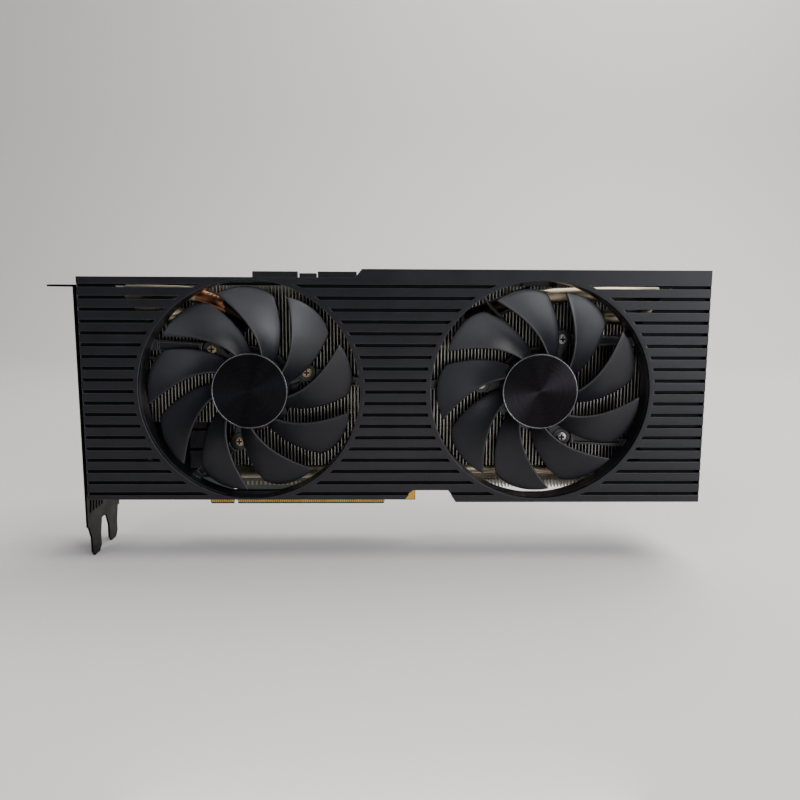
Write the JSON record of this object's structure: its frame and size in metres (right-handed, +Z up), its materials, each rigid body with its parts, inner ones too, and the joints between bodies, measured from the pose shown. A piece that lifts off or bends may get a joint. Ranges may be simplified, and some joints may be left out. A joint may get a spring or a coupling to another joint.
{
  "type": "graphics card",
  "caption": "Two-slot graphics card with a ribbed front cover, two open axial fans, a finned heatsink with heat pipes, an edge connector and a steel bracket.",
  "frame": {"origin": "middle of the key notch, at the bottom of the edge connector and on the board's mid-plane", "axes": "+X along the card away from the bracket, +Y from the fans to the back plate, +Z up, away from the edge connector"},
  "size_m": [0.2804, 0.041, 0.127],
  "materials": {
    "cover_plastic": "moulded charcoal plastic, satin",
    "fan_plastic": "moulded dark grey plastic, satin",
    "bracket_metal": "dark nickel-plated steel sheet",
    "back_plate_metal": "black painted aluminium sheet",
    "plate_metal": "black anodised plate",
    "board": "dark green solder mask over glass laminate",
    "gold": "gold-plated contacts",
    "black_plastic": "moulded black plastic",
    "white_plastic": "moulded white plastic",
    "package": "green chip substrate",
    "silicon": "bare silicon",
    "chip_resin": "moulded black resin",
    "ferrite": "pressed ferrite",
    "can_aluminium": "capacitor can",
    "ceramic": "ceramic",
    "steel": "plated steel",
    "screw_yellow": "yellow passivated screws",
    "pad": "thermal pad",
    "copper": "bare copper",
    "fin_aluminium": "thin aluminium fins",
    "disc_metal": "spun dark anodised disc",
    "ferrite_magnet": "bonded magnet",
    "bearing_bronze": "sintered bronze",
    "lamination": "laminated steel",
    "lead_plastic": "insulated lead"
  },
  "bodies": {
    "card": {"front_cover": "cover_plastic", "io_bracket": "bracket_metal", "back_plate": "back_plate_metal", "circuit_board": "board", "edge_contacts": "gold", "link_connector_cap": "black_plastic", "gpu_package": "package", "gpu_die": "silicon", "memory_chips": "chip_resin", "power_inductors": "ferrite", "power_stages": "chip_resin", "polymer_capacitors": "can_aluminium", "coupling_capacitors": "ceramic", "support_chips": "chip_resin", "power_socket_inner": "black_plastic", "power_socket_outer": "black_plastic", "power_pins": "gold", "fan_headers": "white_plastic", "display_sockets": "steel", "hdmi_socket": "steel", "socket_tongues": "black_plastic", "frame_plate": "plate_metal", "thermal_pads": "pad", "cold_plate": "copper", "heat_pipes_inner": "copper", "heat_pipe_lower": "copper", "heat_pipe_upper_left": "copper", "heat_pipe_upper_right": "copper", "heat_pipe_ends": "copper", "fin_stack_left": "fin_aluminium", "fin_stack_right": "fin_aluminium", "retention_plate": "steel", "retention_screws": "steel", "back_plate_screws": "steel", "cover_screws": "steel", "bracket_screws": "steel", "motor_screws": "screw_yellow", "left_fan_frame": "fan_plastic", "left_fan_bearing": "bearing_bronze", "left_fan_stator": "lamination", "left_fan_windings": "copper", "left_fan_motor_base": "fan_plastic", "left_fan_lead": "lead_plastic", "right_fan_frame": "fan_plastic", "right_fan_bearing": "bearing_bronze", "right_fan_stator": "lamination", "right_fan_windings": "copper", "right_fan_motor_base": "fan_plastic", "right_fan_lead": "lead_plastic"},
    "left_fan": {"left_fan_rotor": "fan_plastic", "left_fan_hub_disc": "disc_metal", "left_fan_hub_ring": "steel", "left_fan_magnet": "ferrite_magnet", "left_fan_shaft": "steel"},
    "right_fan": {"right_fan_rotor": "fan_plastic", "right_fan_hub_disc": "disc_metal", "right_fan_hub_ring": "steel", "right_fan_magnet": "ferrite_magnet", "right_fan_shaft": "steel"}
  },
  "joints": [
    {"name": "left_fan_spin", "type": "hinge", "parent": "card", "child": "left_fan", "pos_m": [0.0143, -0.03, 0.0597], "axis": [0, -1, 0], "continuous": true},
    {"name": "right_fan_spin", "type": "hinge", "parent": "card", "child": "right_fan", "pos_m": [0.139, -0.03, 0.0597], "axis": [0, -1, 0], "continuous": true}
  ]
}
